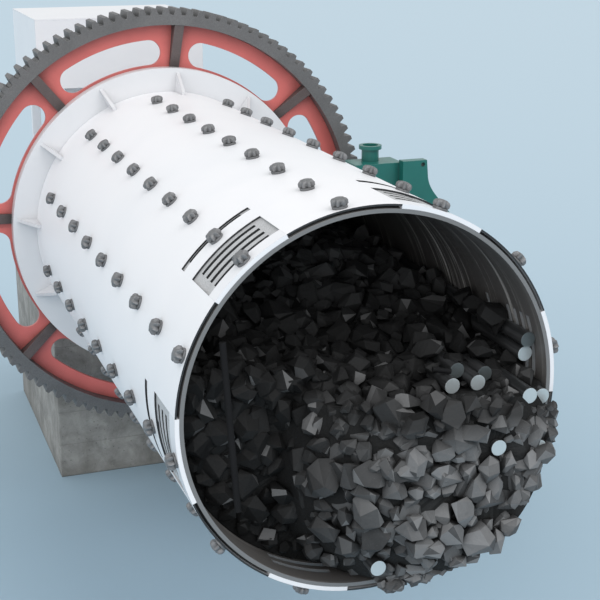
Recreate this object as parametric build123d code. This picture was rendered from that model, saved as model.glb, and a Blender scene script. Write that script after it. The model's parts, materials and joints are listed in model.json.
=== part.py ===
from build123d import *
import os
from math import acos, cos, degrees, pi, radians, sin, sqrt, tan

# Rod mill, shown cut open at its discharge end, in millimetres.
# X runs across the drum, Y along it towards the feed end, Z up.
# The origin is the middle of the concrete pedestal's underside.

# Main places
axis_height = 2365             # drum axis above the ground
running_gap = 0.8              # charge to the turning liner
seat_gap = 0.3                 # between pieces that lie on each other

# Drum shell, its liner and the packing between them
shell_radius = 1050
shell_thickness = 10
shell_length = 4340
liner_thickness = 22
packing_thickness = 14
packing_recess = 40
plate_count = 6
window_phase = 9.6             # angle of the first window, from +X towards +Z

# Discharge windows
window_span = 26.0
window_front = 104
window_depth = 308
grate_slit_count = 4
grate_slit_first = 137
grate_slit_width = 34
grate_slit_pitch = 74
grate_slit_inset = 3.0
rear_slit_place = 593
rear_slit_width = 54
rear_grate_place = 603
rear_grate_width = 30
grate_panel_length = 660

# Feed end of the drum
flange_radius = shell_radius + 181
flange_thickness = 100
gusset_count = 12
gusset_height = 150
gusset_length = 210
gusset_toe = 24
gusset_thickness = 26
head_flange_radius = shell_radius + 150
head_flange_thickness = 50
head_inner_radius = shell_radius - 50
head_depth = 380
head_thickness = 45
trunnion_radius = 350
trunnion_bore = 260
trunnion_length = 870
collar_radius = 400
collar_thickness = 40

# Ring gear and pinion, with stub teeth
module = 30
gear_teeth = 111
pinion_teeth = 21
pressure_angle = 20.0
addendum = 0.75 * module
dedendum = 0.95 * module
backlash = 1.6
gear_face = 250
gear_rim_thickness = 76.5
web_inner_radius = shell_radius - 50
web_thickness = 30
rib_count = 8
rib_phase = 40.0
rib_width = 75
rib_toe = 14
rib_setback = 5
slot_inner_margin = 17
slot_outer_margin = 118
slot_span = 35.4
first_half_teeth = 55
pinion_face = 270
pinion_direction = -10.0
pinion_shaft_radius = 90

# Concrete
pedestal_width = 1750
pedestal_depth = 2270
pedestal_height = 1515
pedestal_chamfer = 25
plinth_height = 1415
pad_margin = 130

# Main bearing
bearing_width = 440
bearing_sole_width = 1240
bearing_sole_thickness = 70
bearing_sole_slope = 90
bearing_body_width = 1000
bearing_joint_width = 1180
bearing_joint_height = 60
bearing_cap_radius = 500
bearing_clearance = 0.4
side_play = 6

# Feed box and chute
box_width = 1490
box_depth = 1345
box_height = 588
box_lid_thickness = 12
box_wall = 14
box_top = axis_height + 1500
inlet_size = 400
inlet_bolt_spacing = 480
inlet_bolt_radius = 11
chute_top_width = 1000
chute_top_depth = 1020
chute_foot_size = 300
chute_foot_height = 240
chute_wall = 12
spout_radius = 200
spout_wall = 12
leg_size = 80
leg_spacing_x = 1200
leg_spacing_y = 1100

# Pinion bearings and coupling
small_bearing_width = 150
small_bearing_foot = 540
small_bearing_waist = 360
small_bearing_radius = 200
small_bearing_sole = 60
small_bearing_slope = 50
coupling_length = 130
coupling_radius = 190

# Gear reducer
reducer_length = 400
reducer_step = 80
reducer_body_length = 245
reducer_back_top = 300
reducer_left = 1330
reducer_right = 2270
reducer_step_x = 1700
reducer_top = 505
reducer_shoulder_x = 1905
cover_plate_top = 527
cover_drop = 90
cover_lap = 30
ear_hole_place = (1872, 492)
ear_hole_radius = 17
reducer_foot = 60
reducer_foot_overhang = 50
reducer_rim_height = 32
reducer_rim_overhang = 20
reducer_rim_side = 40
cover_ear_bottom = 390
cover_ear_width = 12
cover_curve = ((2010, 215), (2150, 40))
cap_x = 1525
cap_radius = 68
cap_height = 92
cap_flange_radius = 90
cap_flange_height = 30
cap_bore_radius = 62
cap_bore_depth = 70
input_shaft_x = 1500

# Motor
motor_radius = 235
motor_length = 630
motor_shaft_radius = 45
motor_hub_radius = 110
motor_hub_length = 140
terminal_box_length = 230
terminal_box_height = 210
terminal_box_reach = 110
stand_width = 460

# Charge
rod_radius = 42.5
rod_end_gap = 390
heap_front = 250
heap_end_gap = 100
heap_points = ((-140, 60), (-380, 0), (-700, 60), (-1300, 120))
mound_rise = ((420, 0), (1000, 190), (1600, 400), (2000, 440), (2600, 410), (3400, 140), (4000, -60))
mound_crown = ((-1300, 330), (-300, 440), (250, 440), (700, 280), (1000, 130), (1300, 0))
mound_foot = -300
spill_reach = 250
spill_radius = 900
spill_x = 400
spill_drop = 420

# Worked out from the sizes above
packing_radius = shell_radius - shell_thickness
liner_outer_radius = packing_radius - packing_thickness
liner_inner_radius = liner_outer_radius - liner_thickness
plate_span = 360 / plate_count
flange_place = shell_length - flange_thickness
web_place = shell_length
head_place = web_place + web_thickness
trunnion_place = head_place + head_flange_thickness
gear_place = web_place + web_thickness / 2 - gear_face / 2
gear_root_radius = module * gear_teeth / 2 - dedendum
rim_inner_radius = gear_root_radius - gear_rim_thickness
slot_inner_radius = flange_radius + slot_inner_margin
slot_outer_radius = rim_inner_radius - slot_outer_margin
centre_distance = module * (gear_teeth + pinion_teeth) / 2
pinion_x = centre_distance * cos(radians(pinion_direction))
pinion_z = centre_distance * sin(radians(pinion_direction))
tooth_pitch = 360 / gear_teeth
gear_split = pinion_direction + 3 * tooth_pitch

# Places along the drum, measured from its open rim
bearing_place = shell_length + 650
rim_to_pedestal = shell_length + 1644
box_front = shell_length + 1430
chute_foot_place = box_front + 310
spout_front = bearing_place + bearing_width + 70
spout_back = box_front + 560
front_bearing = gear_place - 210
rear_bearing = gear_place + 330
reducer_back = gear_place - 380
reducer_front = reducer_back - reducer_length
coupling_front = reducer_back + 15
motor_back = reducer_front - 220
motor_front = motor_back - motor_length
rod_length = shell_length - rod_end_gap


def along(y):
    return y - rim_to_pedestal


def across(profile, front, length, x=0, z=0):
    """Draw a profile as seen from the open end, centred on the drum axis, and run it back."""
    back_plane = Plane(
        origin=(x, along(front + length), axis_height + z), x_dir=(1, 0, 0), z_dir=(0, -1, 0)
    )
    return extrude(back_plane * profile, length)


def turned(profile, x=0, z=0):
    """Turn a profile of (radius, place along the drum) about an axis along the drum."""
    half_plane = Plane(
        origin=(x, along(0), axis_height + z), x_dir=(1, 0, 0), z_dir=(0, 0, 1)
    )
    axis = Axis((x, 0, axis_height + z), (0, 1, 0))
    return revolve(half_plane * make_face(Polyline(*profile, close=True)), axis, 360)


def block(x_range, y_range, z_range):
    size = [high - low for low, high in (x_range, y_range, z_range)]
    middle = [(high + low) / 2 for low, high in (x_range, y_range, z_range)]
    return Pos(*middle) * Box(*size)


def ring_sector(inner, outer, start, span):
    outer_arc = CenterArc((0, 0), outer, start, span)
    inner_arc = CenterArc((0, 0), inner, start, span)
    return make_face([
        outer_arc,
        Line(outer_arc @ 1, inner_arc @ 1),
        inner_arc,
        Line(inner_arc @ 0, outer_arc @ 0),
    ])


def ring(inner, outer):
    return Circle(outer) - Circle(inner)


def polar(radius, angle):
    return (radius * cos(radians(angle)), radius * sin(radians(angle)))


def write(name, shape):
    shape.label = name
    export_step(shape, f"parts/{name}.step")


# Drum

def window_angle(index):
    return window_phase + index * plate_span


def window_slits(index, inner, outer):
    """The narrow slits of one window, as cutters from one radius to another."""
    start = window_angle(index) - window_span / 2 + grate_slit_inset
    span = window_span - 2 * grate_slit_inset
    cutter = ring_sector(inner, outer, start, span)
    slits = []
    for number in range(grate_slit_count):
        place = grate_slit_first + number * grate_slit_pitch
        slits.append(across(cutter, place - grate_slit_width / 2, grate_slit_width))
    slits.append(across(cutter, rear_grate_place - rear_grate_width / 2, rear_grate_width))
    return slits


def shell_plate(index):
    start = window_angle(index) - plate_span / 2
    plate = across(ring_sector(packing_radius, shell_radius, start, plate_span), 0, shell_length)
    opening = ring_sector(
        packing_radius - 5, shell_radius + 5, window_angle(index) - window_span / 2, window_span
    )
    plate -= across(opening, 0, window_front + window_depth)
    plate -= across(opening, rear_slit_place - rear_slit_width / 2, rear_slit_width)
    return plate


def rim_block(index):
    """Block that closes the shell and the packing in front of a window."""
    start = window_angle(index) - window_span / 2
    return across(ring_sector(liner_outer_radius, shell_radius, start, window_span), 0, window_front)


def grate_panel(index):
    start = window_angle(index) - window_span / 2
    panel = across(
        ring_sector(liner_outer_radius, packing_radius, start, window_span),
        window_front,
        grate_panel_length - window_front,
    )
    for slit in window_slits(index, liner_outer_radius - 5, packing_radius + 5):
        panel -= slit
    return panel


def packing_sheet(index):
    seam = 0.1
    start = window_angle(index) - plate_span / 2 + seam
    sheet = across(
        ring_sector(liner_outer_radius, packing_radius, start, plate_span - 2 * seam),
        packing_recess,
        shell_length - packing_recess,
    )
    taken = ring_sector(
        liner_outer_radius - 5, packing_radius + 5, window_angle(index) - window_span / 2, window_span
    )
    return sheet - across(taken, 0, grate_panel_length)


def liner_plate(index):
    start = window_angle(index) - plate_span / 2
    plate = across(ring_sector(liner_inner_radius, liner_outer_radius, start, plate_span), 0, shell_length)
    for slit in window_slits(index, liner_inner_radius - 5, liner_outer_radius + 5):
        plate -= slit
    return plate


def end_flange():
    flange = across(ring(shell_radius, flange_radius), flange_place, flange_thickness)
    inner = shell_radius - 5
    side = make_face(Polyline(
        (inner, flange_place),
        (shell_radius + gusset_height, flange_place),
        (shell_radius + gusset_toe, flange_place - gusset_length),
        (inner, flange_place - gusset_length),
        close=True,
    ))
    plane = Plane(origin=(0, along(0), axis_height), x_dir=(1, 0, 0), z_dir=(0, 0, 1))
    gusset = extrude(plane * side, gusset_thickness / 2, both=True)
    gusset -= across(Circle(shell_radius), flange_place - 2 * gusset_length, 2 * gusset_length)
    axis = Axis((0, 0, axis_height), (0, 1, 0))
    for number in range(gusset_count):
        angle = window_phase + (number + 0.5) * 360 / gusset_count
        flange += gusset.rotate(axis, -angle)
    return flange


def feed_head():
    back = head_place + head_depth
    return turned([
        (head_inner_radius, head_place),
        (head_flange_radius, head_place),
        (head_flange_radius, trunnion_place),
        (head_inner_radius + head_thickness, trunnion_place),
        (trunnion_radius + 60, back),
        (trunnion_radius, back + 30),
        (trunnion_bore, back + 30),
        (trunnion_bore, back - 20),
        (trunnion_radius - 30, back - head_thickness),
        (head_inner_radius - 10, trunnion_place - 20),
    ])


def feed_trunnion():
    """The hollow trunnion and its two thrust rings."""
    start = head_place + head_depth + 30
    tube = across(ring(trunnion_bore, trunnion_radius), start, trunnion_length)
    thrust = ring(trunnion_radius, collar_radius)
    front_ring = across(thrust, start, bearing_place - side_play - start)
    back_ring = across(thrust, bearing_place + bearing_width + side_play, collar_thickness)
    return Compound(children=[tube, front_ring, back_ring])


# Ring gear and pinion

def involute(base, radius):
    roll = acos(min(1, base / radius))
    return tan(roll) - roll


def tooth_outline(teeth, centre_angle):
    """One tooth of an involute gear, from its root on one side to its root on the other."""
    pitch_radius = module * teeth / 2
    base = pitch_radius * cos(radians(pressure_angle))
    root = pitch_radius - dedendum
    tip = pitch_radius + addendum
    start = max(base, root)
    steps = 3
    half_angle = pi / (2 * teeth) - backlash / (4 * pitch_radius)
    half_angle += involute(base, pitch_radius)
    flank = []
    if root < base:
        flank.append((root, half_angle))
    for step in range(steps + 1):
        radius = start + (tip - start) * step / steps
        flank.append((radius, half_angle - involute(base, radius)))
    rising = [polar(radius, centre_angle - degrees(angle)) for radius, angle in flank]
    falling = [polar(radius, centre_angle + degrees(angle)) for radius, angle in reversed(flank)]
    return rising + falling


def gear_rim(first_tooth, tooth_count):
    points = []
    start = gear_split + first_tooth * tooth_pitch
    for number in range(tooth_count):
        points += tooth_outline(gear_teeth, start + (number + 0.5) * tooth_pitch)
    span = tooth_count * tooth_pitch
    points = [polar(gear_root_radius, start)] + points + [polar(gear_root_radius, start + span)]
    inner_arc = CenterArc((0, 0), rim_inner_radius, start, span)
    profile = make_face([
        Polyline(*points),
        Line(points[-1], inner_arc @ 1),
        inner_arc,
        Line(inner_arc @ 0, points[0]),
    ])
    return across(profile, gear_place, gear_face)


def gear_web(first_tooth, tooth_count):
    start = gear_split + first_tooth * tooth_pitch
    profile = ring_sector(web_inner_radius, rim_inner_radius, start, tooth_count * tooth_pitch)
    slot_width = slot_outer_radius - slot_inner_radius
    slot_middle_radius = (slot_outer_radius + slot_inner_radius) / 2
    end_angle = degrees(slot_width / 2 / slot_middle_radius)
    for number in range(rib_count):
        middle = rib_phase + (number + 0.5) * 360 / rib_count
        arc = CenterArc(
            (0, 0), slot_middle_radius, middle - slot_span / 2 + end_angle, slot_span - 2 * end_angle
        )
        profile -= SlotArc(arc, slot_width)
    return across(profile, web_place, web_thickness)


def gear_ribs():
    """Tapered ribs on both faces of the web, in two sets of eight."""
    gear_back = gear_place + gear_face
    web_back = web_place + web_thickness
    sides = (
        (flange_radius, web_place, web_place - rib_toe, gear_place + rib_setback),
        (head_flange_radius, web_back, web_back + rib_toe, gear_back - rib_setback),
    )
    plane = Plane(origin=(0, along(0), axis_height), x_dir=(1, 0, 0), z_dir=(0, 0, 1))
    ribs = []
    for inner, web_face, toe, crest in sides:
        side = make_face(Polyline(
            (inner - 20, web_face),
            (rim_inner_radius + 20, web_face),
            (rim_inner_radius + 20, crest),
            (rim_inner_radius, crest),
            (inner, toe),
            (inner - 20, toe),
            close=True,
        ))
        rib = extrude(plane * side, rib_width / 2, both=True)
        rib &= across(ring(inner, rim_inner_radius), gear_place, gear_face)
        for number in range(rib_count):
            angle = rib_phase + number * 360 / rib_count
            ribs.append(rib.rotate(Axis((0, 0, axis_height), (0, 1, 0)), -angle))
    return Compound(children=ribs)


def pinion_gear():
    points = []
    for number in range(pinion_teeth):
        points += tooth_outline(pinion_teeth, 180 + pinion_direction + number * 360 / pinion_teeth)
    profile = make_face(Polyline(*points, close=True)) - Circle(pinion_shaft_radius)
    front = gear_place + gear_face / 2 - pinion_face / 2
    return across(profile, front, pinion_face, pinion_x, pinion_z)


# Drive train, all on the pinion's axis or beside it

def pinion_shaft():
    return across(
        Circle(pinion_shaft_radius),
        coupling_front,
        rear_bearing + small_bearing_width + 30 - coupling_front,
        pinion_x,
        pinion_z,
    )


def coupling():
    return across(
        ring(pinion_shaft_radius, coupling_radius), coupling_front, coupling_length, pinion_x, pinion_z
    )


def pinion_bearing(front):
    foot = plinth_height - axis_height - pinion_z
    half_foot = small_bearing_foot / 2
    half_waist = small_bearing_waist / 2
    slope_top = foot + small_bearing_sole + small_bearing_slope
    profile = make_face(Polyline(
        (-half_foot, foot),
        (half_foot, foot),
        (half_foot, foot + small_bearing_sole),
        (half_waist, slope_top),
        (small_bearing_radius, 0),
        (-small_bearing_radius, 0),
        (-half_waist, slope_top),
        (-half_foot, foot + small_bearing_sole),
        close=True,
    ))
    profile += Circle(small_bearing_radius)
    profile -= Circle(pinion_shaft_radius + bearing_clearance)
    return across(profile, front, small_bearing_width, pinion_x, pinion_z)


def reducer_base():
    bottom = plinth_height - axis_height
    split = pinion_z - seat_gap / 2
    body = across(
        make_face(Polyline(
            (reducer_left, bottom), (reducer_right, bottom),
            (reducer_right, split), (reducer_left, split), close=True,
        )),
        reducer_front,
        reducer_length,
    )
    low_z = axis_height + bottom
    split_z = axis_height + split
    front = along(reducer_front - reducer_rim_overhang)
    back = along(reducer_back)
    foot = block(
        (reducer_left - reducer_foot_overhang, reducer_right + reducer_foot_overhang),
        (front, back),
        (low_z, low_z + reducer_foot),
    )
    rim = block(
        (reducer_left - reducer_rim_side, reducer_right + reducer_rim_side),
        (front, back),
        (split_z - reducer_rim_height, split_z),
    )
    return body + foot + rim


def reducer_cover():
    """Front plate with its lifting ear, the body behind it and the lower back."""
    split = pinion_z + seat_gap / 2
    plate = across(
        make_face([
            Polyline(
                (reducer_right, split),
                (reducer_step_x, split),
                (reducer_step_x, cover_plate_top),
                (reducer_shoulder_x, cover_plate_top),
                (reducer_shoulder_x + cover_ear_width, cover_ear_bottom),
            ),
            Spline(
                (reducer_shoulder_x + cover_ear_width, cover_ear_bottom),
                *cover_curve,
                (reducer_right, split),
                tangents=((0.15, -1), (0.25, -1)),
            ),
        ]),
        reducer_front,
        reducer_step,
    )
    hole_x, hole_z = ear_hole_place
    plate -= across(Circle(ear_hole_radius), reducer_front - 5, reducer_step + 10, hole_x, hole_z)

    def body(top, front, back):
        profile = make_face(Polyline(
            (reducer_left, split),
            (reducer_left, top),
            (reducer_step_x + cover_lap, top),
            (reducer_step_x + cover_lap, top - cover_drop),
            (reducer_right - 2 * cover_drop, split + cover_drop),
            (reducer_right - cover_drop, split),
            close=True,
        ))
        return across(profile, front, back - front)

    split_z = axis_height + split
    body_back = reducer_front + reducer_step + reducer_body_length
    rim = block(
        (reducer_left - reducer_rim_side, reducer_right + reducer_rim_side),
        (along(reducer_front - reducer_rim_overhang), along(reducer_back)),
        (split_z, split_z + reducer_rim_height),
    )
    cover = plate + body(reducer_top, reducer_front + reducer_step, body_back)
    return cover + body(reducer_back_top, body_back, reducer_back) + rim


def reducer_cap():
    base = axis_height + reducer_top
    y = along(reducer_front + reducer_step + reducer_body_length - cap_radius - 5)
    stem = Pos(cap_x, y, base + cap_height / 2) * Cylinder(cap_radius, cap_height)
    top = Pos(cap_x, y, base + cap_height + cap_flange_height / 2) * Cylinder(
        cap_flange_radius, cap_flange_height
    )
    bore = Pos(cap_x, y, base + cap_height + cap_flange_height - cap_bore_depth / 2) * Cylinder(
        cap_bore_radius, cap_bore_depth
    )
    return stem + top - bore


def motor():
    body = across(Circle(motor_radius), motor_front, motor_length, input_shaft_x, pinion_z)
    reach = reducer_front - reducer_rim_overhang - motor_back
    shaft = across(Circle(motor_shaft_radius), motor_back, reach, input_shaft_x, pinion_z)
    hub = across(
        Circle(motor_hub_radius),
        motor_back + (reach - motor_hub_length) / 2,
        motor_hub_length,
        input_shaft_x,
        pinion_z,
    )
    side = input_shaft_x + motor_radius
    middle = along(motor_front + motor_length / 2)
    box = block(
        (side - 30, side + terminal_box_reach),
        (middle - terminal_box_length / 2, middle + terminal_box_length / 2),
        (
            axis_height + pinion_z - terminal_box_height / 2,
            axis_height + pinion_z + terminal_box_height / 2,
        ),
    )
    return body + shaft + hub + box


def motor_stand():
    top = axis_height + pinion_z - motor_radius * 0.8
    stand = block(
        (input_shaft_x - stand_width / 2, input_shaft_x + stand_width / 2),
        (along(motor_front + 60), along(motor_back - 60)),
        (plinth_height, top),
    )
    return stand - across(
        Circle(motor_radius + seat_gap), motor_front, motor_length, input_shaft_x, pinion_z
    )


# Foundations and main bearing

def concrete_pedestal():
    slab = Pos(0, 0, pedestal_height / 2) * Box(pedestal_width, pedestal_depth, pedestal_height)
    return chamfer(slab.edges().group_by(Axis.Z)[-1], pedestal_chamfer)


def drive_plinth():
    height = (0, plinth_height)
    half_stand = stand_width / 2
    motor_pad = block(
        (input_shaft_x - half_stand - pad_margin, input_shaft_x + half_stand + pad_margin),
        (along(motor_front - pad_margin), along(reducer_front)),
        height,
    )
    reducer_pad = block(
        (reducer_left - pad_margin, reducer_right + pad_margin),
        (along(reducer_front - 2 * pad_margin), along(reducer_back)),
        height,
    )
    half_foot = small_bearing_foot / 2
    pinion_pad = block(
        (pinion_x - half_foot - pad_margin, pinion_x + half_foot + pad_margin),
        (along(reducer_back - 10), along(rear_bearing + small_bearing_width + pad_margin)),
        height,
    )
    return motor_pad + reducer_pad + pinion_pad


def main_bearing_base():
    foot = pedestal_height - axis_height
    half_sole = bearing_sole_width / 2
    half_body = bearing_body_width / 2
    half_joint = bearing_joint_width / 2
    slope_top = foot + bearing_sole_thickness + bearing_sole_slope
    right = [
        (half_sole, foot),
        (half_sole, foot + bearing_sole_thickness),
        (half_body, slope_top),
        (half_body, -bearing_joint_height),
        (half_joint, -bearing_joint_height),
        (half_joint, -seat_gap / 2),
    ]
    left = [(-x, z) for x, z in reversed(right)]
    profile = make_face(Polyline(*right, *left, close=True))
    profile -= Circle(trunnion_radius + bearing_clearance)
    return across(profile, bearing_place, bearing_width)


def main_bearing_cap():
    profile = Circle(bearing_cap_radius)
    profile += Pos(0, bearing_joint_height / 2) * Rectangle(bearing_joint_width, bearing_joint_height)
    profile -= Circle(trunnion_radius + bearing_clearance)
    below = bearing_sole_width
    profile -= Pos(0, seat_gap / 2 - below / 2) * Rectangle(2 * below, below)
    return across(profile, bearing_place, bearing_width)


# Feed box, chute and spout

def feed_box():
    low = box_top - box_lid_thickness - box_height
    high = box_top - box_lid_thickness
    front = along(box_front)
    back = front + box_depth
    half = box_width / 2
    box = block((-half, half), (front, back), (low, high))
    box -= block(
        (-half + box_wall, half - box_wall),
        (front + box_wall, back - box_wall),
        (low + box_wall, high + 5),
    )
    middle = front + box_depth / 2
    box -= block(
        (-chute_top_width / 2 + chute_wall, chute_top_width / 2 - chute_wall),
        (middle - chute_top_depth / 2 + chute_wall, middle + chute_top_depth / 2 - chute_wall),
        (low - 5, low + box_wall + 5),
    )
    inlet_z = low + box_height / 2
    box -= Pos(0, back, inlet_z) * Box(inlet_size, 4 * box_wall, inlet_size)
    for x in (-inlet_bolt_spacing / 2, inlet_bolt_spacing / 2):
        for z in (-inlet_bolt_spacing / 2, inlet_bolt_spacing / 2):
            hole = Cylinder(inlet_bolt_radius, 4 * box_wall, rotation=(90, 0, 0))
            box -= Pos(x, back, inlet_z + z) * hole
    return box


def feed_box_lid():
    front = along(box_front)
    return block(
        (-box_width / 2, box_width / 2),
        (front, front + box_depth),
        (box_top - box_lid_thickness, box_top),
    )


def chute_mouth(foot_y, low, high):
    """The free room inside the chute's square foot."""
    half = chute_foot_size / 2 - chute_wall
    return block((-half, half), (foot_y - half, foot_y + half), (low, high))


def feed_chute():
    high = box_top - box_lid_thickness - box_height
    low = axis_height + chute_foot_height
    top_y = along(box_front) + box_depth / 2
    foot_y = along(chute_foot_place)

    def shape(inset):
        upper = Plane(origin=(0, top_y, high)) * Rectangle(
            chute_top_width - 2 * inset, chute_top_depth - 2 * inset
        )
        lower = Plane(origin=(0, foot_y, low)) * Rectangle(
            chute_foot_size - 2 * inset, chute_foot_size - 2 * inset
        )
        return loft([lower, upper])

    half = chute_foot_size / 2
    neck = block((-half, half), (foot_y - half, foot_y + half), (axis_height, low))
    chute = shape(0) - shape(chute_wall) + neck - chute_mouth(foot_y, axis_height - 5, low + 5)
    return chute - across(Circle(spout_radius), spout_front, spout_back - spout_front)


def feed_spout():
    tube = across(ring(spout_radius - spout_wall, spout_radius), spout_front, spout_back - spout_front)
    tube += across(Circle(spout_radius), spout_back, spout_wall)
    foot_y = along(chute_foot_place)
    return tube - chute_mouth(foot_y, axis_height, axis_height + spout_radius + 20)


def feed_legs():
    high = box_top - box_lid_thickness - box_height
    middle = along(box_front) + box_depth / 2
    legs = []
    for x in (-leg_spacing_x / 2, leg_spacing_x / 2):
        for y in (middle - leg_spacing_y / 2, middle + leg_spacing_y / 2):
            legs.append(block(
                (x - leg_size / 2, x + leg_size / 2),
                (y - leg_size / 2, y + leg_size / 2),
                (pedestal_height, high),
            ))
    return Compound(children=legs)


# Ore and grinding rods

rod_wall = liner_inner_radius - running_gap - rod_radius
rod_pitch = 2 * rod_radius + seat_gap


def by_wall(inset, z, front):
    """Place of a rod from its gap to the liner on the drive side, its height and its front end."""
    return (sqrt(rod_wall ** 2 - z ** 2) - inset, z, front)


def nested(left, right, front):
    """Place of a rod that lies in the gap on top of two others."""
    half = (right[0] - left[0]) / 2
    return (left[0] + half, left[1] + sqrt(rod_pitch ** 2 - half ** 2), front)


surface_rods = [by_wall(515, 45, 0), by_wall(366.6, 45, 0), by_wall(269.6, 45, 110)]
rod_places = surface_rods + [
    nested(surface_rods[0], surface_rods[1], 100),
    by_wall(18, 128, 118),
    by_wall(0, 128 + rod_pitch, 97),
    by_wall(137, -6, -145),
    by_wall(22, -48, -76),
    by_wall(354, -213, -275),
    by_wall(66, -275, -215),
    (-40, 130.5 - rod_wall, -190),
]


def rod(x, z, front, radius):
    return across(Circle(radius), front, rod_length, x, z)


def rods():
    return Compound(children=[rod(x, z, front, rod_radius) for x, z, front in rod_places])


def mound(length):
    """The fuller part of the charge further in, from its outlines seen from the side and the front."""
    side = [(along(y), axis_height + z) for y, z in mound_rise]
    foot = axis_height + mound_foot
    side_face = make_face(Polyline((side[0][0], foot), *side, (side[-1][0], foot), close=True))
    crown_face = make_face(Polyline(
        (mound_crown[0][0], mound_foot), *mound_crown, (mound_crown[-1][0], mound_foot), close=True
    ))
    return extrude(Plane.YZ * side_face, 2 * shell_radius, both=True) & across(
        crown_face, heap_front, length
    )


def ore_heap():
    radius = liner_inner_radius - running_gap
    far = radius + 200
    crest = [(radius + x, z) for x, z in heap_points]
    surface = make_face(Polyline(
        (-far, -far), (far, -far), (far, 110), *crest, (-far, 160), close=True
    ))
    length = shell_length - heap_end_gap - heap_front
    heap = across(surface, heap_front, length) + mound(length)
    heap &= across(Circle(radius), heap_front, length)
    ball = Pos(spill_x, along(560), axis_height - spill_drop) * Sphere(spill_radius)
    spill = across(Circle(radius - 25), -spill_reach, heap_front + spill_reach + 5) & ball
    cut_top = block((-far, far), (along(-far), along(far)), (axis_height, axis_height + far))
    heap += spill - cut_top
    for x, z, front in rod_places:
        heap -= rod(x, z, front, rod_radius + seat_gap)
    return heap


def main():
    os.makedirs("parts", exist_ok=True)
    write("concrete_pedestal", concrete_pedestal())
    write("drive_plinth", drive_plinth())
    write("main_bearing_base", main_bearing_base())
    write("main_bearing_cap", main_bearing_cap())
    write("feed_box", feed_box())
    write("feed_box_lid", feed_box_lid())
    write("feed_chute", feed_chute())
    write("feed_spout", feed_spout())
    write("feed_legs", feed_legs())
    write("reducer_base", reducer_base())
    write("reducer_cover", reducer_cover())
    write("reducer_cap", reducer_cap())
    write("motor", motor())
    write("motor_stand", motor_stand())
    write("pinion_bearing_front", pinion_bearing(front_bearing))
    write("pinion_bearing_rear", pinion_bearing(rear_bearing))
    write("ore_heap", ore_heap())
    write("grinding_rods", rods())
    for index in range(plate_count):
        write(f"shell_plate_{index + 1}", shell_plate(index))
        write(f"liner_plate_{index + 1}", liner_plate(index))
    indices = range(plate_count)
    write("packing_sheets", Compound(children=[packing_sheet(index) for index in indices]))
    write("rim_blocks", Compound(children=[rim_block(index) for index in indices]))
    write("grate_panels", Compound(children=[grate_panel(index) for index in indices]))
    write("end_flange", end_flange())
    write("feed_head", feed_head())
    write("feed_trunnion", feed_trunnion())
    write("gear_rim_1", gear_rim(0, first_half_teeth))
    write("gear_rim_2", gear_rim(first_half_teeth, gear_teeth - first_half_teeth))
    write("gear_web_1", gear_web(0, first_half_teeth))
    write("gear_web_2", gear_web(first_half_teeth, gear_teeth - first_half_teeth))
    write("gear_ribs", gear_ribs())
    write("pinion_gear", pinion_gear())
    write("pinion_shaft", pinion_shaft())
    write("pinion_coupling", coupling())


main()
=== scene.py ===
import json
import math
import random

import bmesh
import bpy
from mathutils import Matrix, Vector
from mathutils.bvhtree import BVHTree


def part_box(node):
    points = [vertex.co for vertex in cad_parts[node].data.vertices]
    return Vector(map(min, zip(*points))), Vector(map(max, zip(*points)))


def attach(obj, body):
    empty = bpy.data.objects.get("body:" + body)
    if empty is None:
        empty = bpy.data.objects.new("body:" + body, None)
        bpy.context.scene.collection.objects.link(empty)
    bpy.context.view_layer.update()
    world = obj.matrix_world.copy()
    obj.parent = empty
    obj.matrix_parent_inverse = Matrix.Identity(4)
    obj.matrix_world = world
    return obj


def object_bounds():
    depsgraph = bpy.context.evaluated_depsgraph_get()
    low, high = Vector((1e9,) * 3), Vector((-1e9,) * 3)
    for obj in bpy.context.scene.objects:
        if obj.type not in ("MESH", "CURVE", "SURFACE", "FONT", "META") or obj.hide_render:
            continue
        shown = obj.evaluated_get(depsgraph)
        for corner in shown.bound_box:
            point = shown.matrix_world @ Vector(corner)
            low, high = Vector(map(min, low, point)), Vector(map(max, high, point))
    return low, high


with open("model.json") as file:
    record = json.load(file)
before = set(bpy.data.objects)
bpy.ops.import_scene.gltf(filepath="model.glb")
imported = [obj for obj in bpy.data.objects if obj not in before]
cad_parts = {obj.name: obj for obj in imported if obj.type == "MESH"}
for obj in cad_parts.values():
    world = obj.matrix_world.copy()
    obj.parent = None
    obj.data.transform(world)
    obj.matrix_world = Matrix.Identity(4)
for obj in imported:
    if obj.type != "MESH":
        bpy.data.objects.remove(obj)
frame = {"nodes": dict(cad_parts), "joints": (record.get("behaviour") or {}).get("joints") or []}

# A rod mill shown cut open at its discharge end. Metres, Y runs along the drum towards the feed end.
nodes = frame["nodes"]
cadLow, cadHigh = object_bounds()
jointPlaces = {joint["name"]: joint["pos_m"] for joint in frame["joints"]}
axisZ = jointPlaces["drum_spin"][2]
pinionAxis = Vector(jointPlaces["pinion_spin"])
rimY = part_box("shell_plate_1")[0].y  # the drum's open edge
windowAngle = 9.6  # middle of the first discharge window, degrees from +X towards +Z


def fromAxis(point):
    return math.hypot(point.x, point.z - axisZ)


def reach(name):  # largest distance of a node from the drum axis
    return max(fromAxis(v.co) for v in nodes[name].data.vertices)


shellRadius = reach("shell_plate_2")
linerInner = min(fromAxis(v.co) for v in nodes["liner_plate_2"].data.vertices)
print("frame loaded, shell radius", round(shellRadius, 3), "liner", round(linerInner, 3))

# Camera
cameraView = {
    "place": (-2.466, -11.707, 4.822), "aim": (-0.3564, -5.8579, 2.9269),
    "lens": 78.1, "sensor": 36.0, "farthest": 400,
}


def newObject(name, data):
    thing = bpy.data.objects.new(name, data)
    bpy.context.scene.collection.objects.link(thing)
    return thing


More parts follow.
